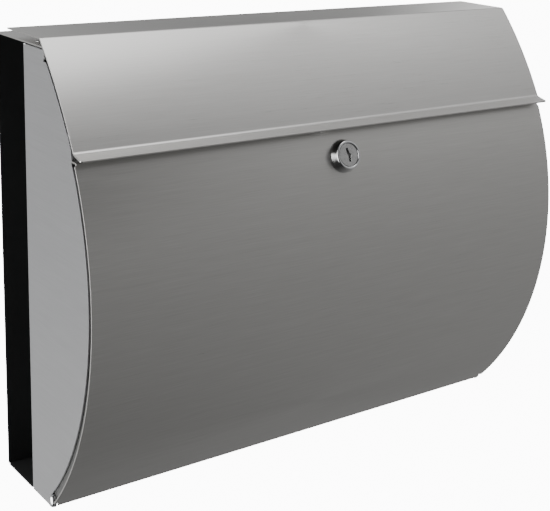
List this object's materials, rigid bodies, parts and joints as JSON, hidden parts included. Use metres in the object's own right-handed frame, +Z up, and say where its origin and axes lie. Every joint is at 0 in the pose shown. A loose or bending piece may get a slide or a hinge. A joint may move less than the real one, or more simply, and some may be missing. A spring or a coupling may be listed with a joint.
{
  "type": "wall mounted mailbox",
  "caption": "Wall mounted mailbox in brushed stainless steel: curved lockable front door, lift-up flap over the mail slot, and a shallow black rear housing.",
  "frame": {"origin": "middle of the back panel's rear face, which lies on the wall", "axes": "+X to the right across the front, +Y into the wall, +Z up"},
  "size_m": [0.3812, 0.13, 0.3032],
  "materials": {
    "brushed_stainless": "finely brushed along X",
    "black_powder_coat": "satin black powder coat",
    "chrome": "polished",
    "zinc": "zinc plated",
    "rubber": "matt black rubber"
  },
  "bodies": {
    "box": {"back_panel": "black_powder_coat", "door_pivot_left": "chrome", "door_pivot_right": "chrome", "flap_buffer_left": "rubber", "flap_buffer_right": "rubber", "floor_panel": "black_powder_coat", "hinge_leaf_left": "brushed_stainless", "hinge_leaf_right": "brushed_stainless", "hinge_pin_left": "zinc", "hinge_pin_right": "zinc", "housing_side_left": "black_powder_coat", "housing_side_right": "black_powder_coat", "leaf_rivet_1": "zinc", "leaf_rivet_2": "zinc", "leaf_rivet_3": "zinc", "leaf_rivet_4": "zinc", "pivot_cap_left": "zinc", "pivot_cap_right": "zinc", "roof_panel": "brushed_stainless", "roof_rivet_1": "zinc", "roof_rivet_2": "zinc", "roof_rivet_3": "zinc", "roof_rivet_4": "zinc", "side_panel_left": "brushed_stainless", "side_panel_right": "brushed_stainless", "side_rivet_left_1": "zinc", "side_rivet_left_2": "zinc", "side_rivet_left_3": "zinc", "side_rivet_right_1": "zinc", "side_rivet_right_2": "zinc", "side_rivet_right_3": "zinc", "slot_rail": "brushed_stainless"},
    "door": {"door_panel": "brushed_stainless", "door_flange_left": "brushed_stainless", "door_flange_right": "brushed_stainless", "lock_housing": "chrome", "lock_washer": "zinc", "lock_nut": "zinc"},
    "lock_cylinder": {"lock_plug": "chrome", "lock_cam": "zinc", "cam_screw": "zinc"},
    "flap": {"flap_panel": "brushed_stainless"}
  },
  "joints": [
    {"name": "door_hinge", "type": "hinge", "parent": "box", "child": "door", "pos_m": [0, -0.0695, -0.1425], "axis": [1, 0, 0], "range_deg": [0, 95]},
    {"name": "lock_turn", "type": "hinge", "parent": "door", "child": "lock_cylinder", "pos_m": [0, -0.11697, 0.0729], "axis": [0, 0.9386, -0.345], "range_deg": [0, 90]},
    {"name": "flap_hinge", "type": "hinge", "parent": "box", "child": "flap", "pos_m": [0, -0.022, 0.153], "axis": [-1, 0, 0], "range_deg": [0, 105]}
  ]
}
